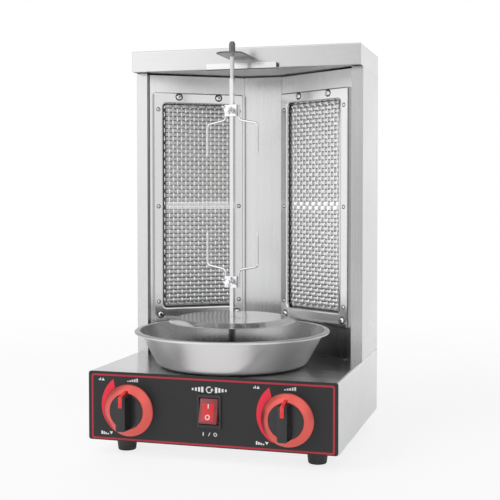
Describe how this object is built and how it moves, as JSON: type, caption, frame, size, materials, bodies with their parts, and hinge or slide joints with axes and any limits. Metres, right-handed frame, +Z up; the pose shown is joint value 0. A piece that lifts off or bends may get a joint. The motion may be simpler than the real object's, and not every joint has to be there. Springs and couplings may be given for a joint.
{
  "type": "vertical rotisserie oven",
  "caption": "Table-top vertical gas rotisserie: angled infrared burners behind a motor-driven spit with sliding forks, a drip pan, and a base with gas knobs and a rocker switch.",
  "frame": {"origin": "middle of the overall box in plan, on the surface that the feet stand on", "axes": "+Z up; the front panel and the open side of the tower face -Y; +X is to the right as seen from the front"},
  "size_m": [0.31, 0.3274, 0.5109],
  "materials": {
    "satin_steel": "satin folded stainless sheet",
    "bright_steel": "bright stainless sheet",
    "mirror_steel": "polished stainless",
    "pan_steel": "spun and lightly polished stainless",
    "wire_mesh": "woven heat-resisting wire cloth",
    "ceramic": "porous cordierite ceramic",
    "spit_steel": "polished stainless bar and wire",
    "screw_steel": "plated screws",
    "black_panel": "smooth black printed panel",
    "black_plastic": "semi-gloss moulded black",
    "red_ring": "red spun metal ring",
    "red_mark": "red pointer inlay",
    "rocker_red": "dark translucent red",
    "rocker_lit": "bright red centre",
    "rubber": "moulded black rubber",
    "brass": "machined brass",
    "pipe": "drawn aluminium pipe",
    "mixing_steel": "plain steel tube",
    "motor_case": "painted steel case"
  },
  "bodies": {
    "oven": {"base_shell": "satin_steel", "base_floor": "satin_steel", "base_back_panel": "satin_steel", "fascia": "black_panel", "rubber_feet": "rubber", "panel_screws": "screw_steel", "tower_back_cover": "satin_steel", "back_reflector": "mirror_steel", "top_cap": "satin_steel", "cap_liner": "satin_steel", "spit_bracket": "bright_steel", "bracket_rail": "bright_steel", "deck_bush": "brass", "switch_housing": "black_plastic", "motor_gearbox": "motor_case", "motor_body": "motor_case", "motor_bracket": "bright_steel", "gas_manifold": "pipe", "gas_inlet": "brass", "supply_pipe": "pipe", "cable_gland": "black_plastic", "tower_side_left": "satin_steel", "tower_side_right": "satin_steel", "inner_wall_left": "bright_steel", "inner_wall_right": "bright_steel", "burner_frame_left": "bright_steel", "burner_frame_right": "bright_steel", "burner_mesh_left": "wire_mesh", "burner_mesh_right": "wire_mesh", "burner_plaques_left": "ceramic", "burner_plaques_right": "ceramic", "burner_box_left": "bright_steel", "burner_box_right": "bright_steel", "mixing_tube_left": "mixing_steel", "mixing_tube_right": "mixing_steel", "burner_screws_left": "screw_steel", "burner_screws_right": "screw_steel", "burner_pipe_left": "pipe", "burner_pipe_right": "pipe", "gas_valve_left": "brass", "gas_valve_right": "brass"},
    "drive": {"drive_shaft": "spit_steel"},
    "spit": {"spit_bar": "spit_steel", "meat_disc": "mirror_steel"},
    "cap_nut": {"spit_cap_nut": "spit_steel"},
    "fork_upper": {"fork_upper": "spit_steel"},
    "fork_lower": {"fork_lower": "spit_steel"},
    "wing_screw_upper": {"wing_screw_upper": "spit_steel"},
    "wing_screw_lower": {"wing_screw_lower": "spit_steel"},
    "pan": {"drip_pan": "pan_steel"},
    "rocker": {"rocker": "rocker_red", "rocker_core": "rocker_lit"},
    "stem_left": {"knob_stem_left": "spit_steel"},
    "knob_left": {"knob_left": "black_plastic", "knob_ring_left": "red_ring", "knob_pointer_left": "red_mark"},
    "stem_right": {"knob_stem_right": "spit_steel"},
    "knob_right": {"knob_right": "black_plastic", "knob_ring_right": "red_ring", "knob_pointer_right": "red_mark"}
  },
  "joints": [
    {"name": "drive_turn", "type": "hinge", "parent": "oven", "child": "drive", "pos_m": [0, -0.0337, 0.12], "axis": [0, 0, 1], "continuous": true},
    {"name": "spit_lift", "type": "slide", "parent": "drive", "child": "spit", "axis": [0, 0, 1], "range_m": [0, 0.022]},
    {"name": "cap_nut_turn", "type": "hinge", "parent": "spit", "child": "cap_nut", "pos_m": [0, -0.0337, 0.5], "axis": [0, 0, 1], "range_deg": [0, 900]},
    {"name": "fork_upper_slide", "type": "slide", "parent": "spit", "child": "fork_upper", "axis": [0, 0, 1], "range_m": [-0.08, 0.03]},
    {"name": "fork_lower_slide", "type": "slide", "parent": "spit", "child": "fork_lower", "axis": [0, 0, 1], "range_m": [-0.03, 0.08]},
    {"name": "wing_screw_upper_turn", "type": "hinge", "parent": "fork_upper", "child": "wing_screw_upper", "pos_m": [0, -0.0337, 0.4244], "axis": [-0.2079, -0.9781, 0], "range_deg": [0, 540]},
    {"name": "wing_screw_lower_turn", "type": "hinge", "parent": "fork_lower", "child": "wing_screw_lower", "pos_m": [0, -0.0337, 0.209], "axis": [-0.2079, -0.9781, 0], "range_deg": [0, 540]},
    {"name": "pan_lift", "type": "slide", "parent": "oven", "child": "pan", "axis": [0, 0, 1], "range_m": [0, 0.024]},
    {"name": "knob_push_left", "type": "slide", "parent": "oven", "child": "stem_left", "axis": [0, 1, 0], "range_m": [0, 0.003], "stiffness_N_per_m": 600},
    {"name": "knob_turn_left", "type": "hinge", "parent": "stem_left", "child": "knob_left", "pos_m": [-0.098, -0.1467, 0.0605], "axis": [0, -1, 0], "range_deg": [0, 150]},
    {"name": "knob_push_right", "type": "slide", "parent": "oven", "child": "stem_right", "axis": [0, 1, 0], "range_m": [0, 0.003], "stiffness_N_per_m": 600},
    {"name": "knob_turn_right", "type": "hinge", "parent": "stem_right", "child": "knob_right", "pos_m": [0.098, -0.1467, 0.0605], "axis": [0, -1, 0], "range_deg": [0, 150]},
    {"name": "rocker_tilt", "type": "hinge", "parent": "oven", "child": "rocker", "pos_m": [0, -0.1267, 0.063], "axis": [1, 0, 0], "range_deg": [0, 24]}
  ]
}
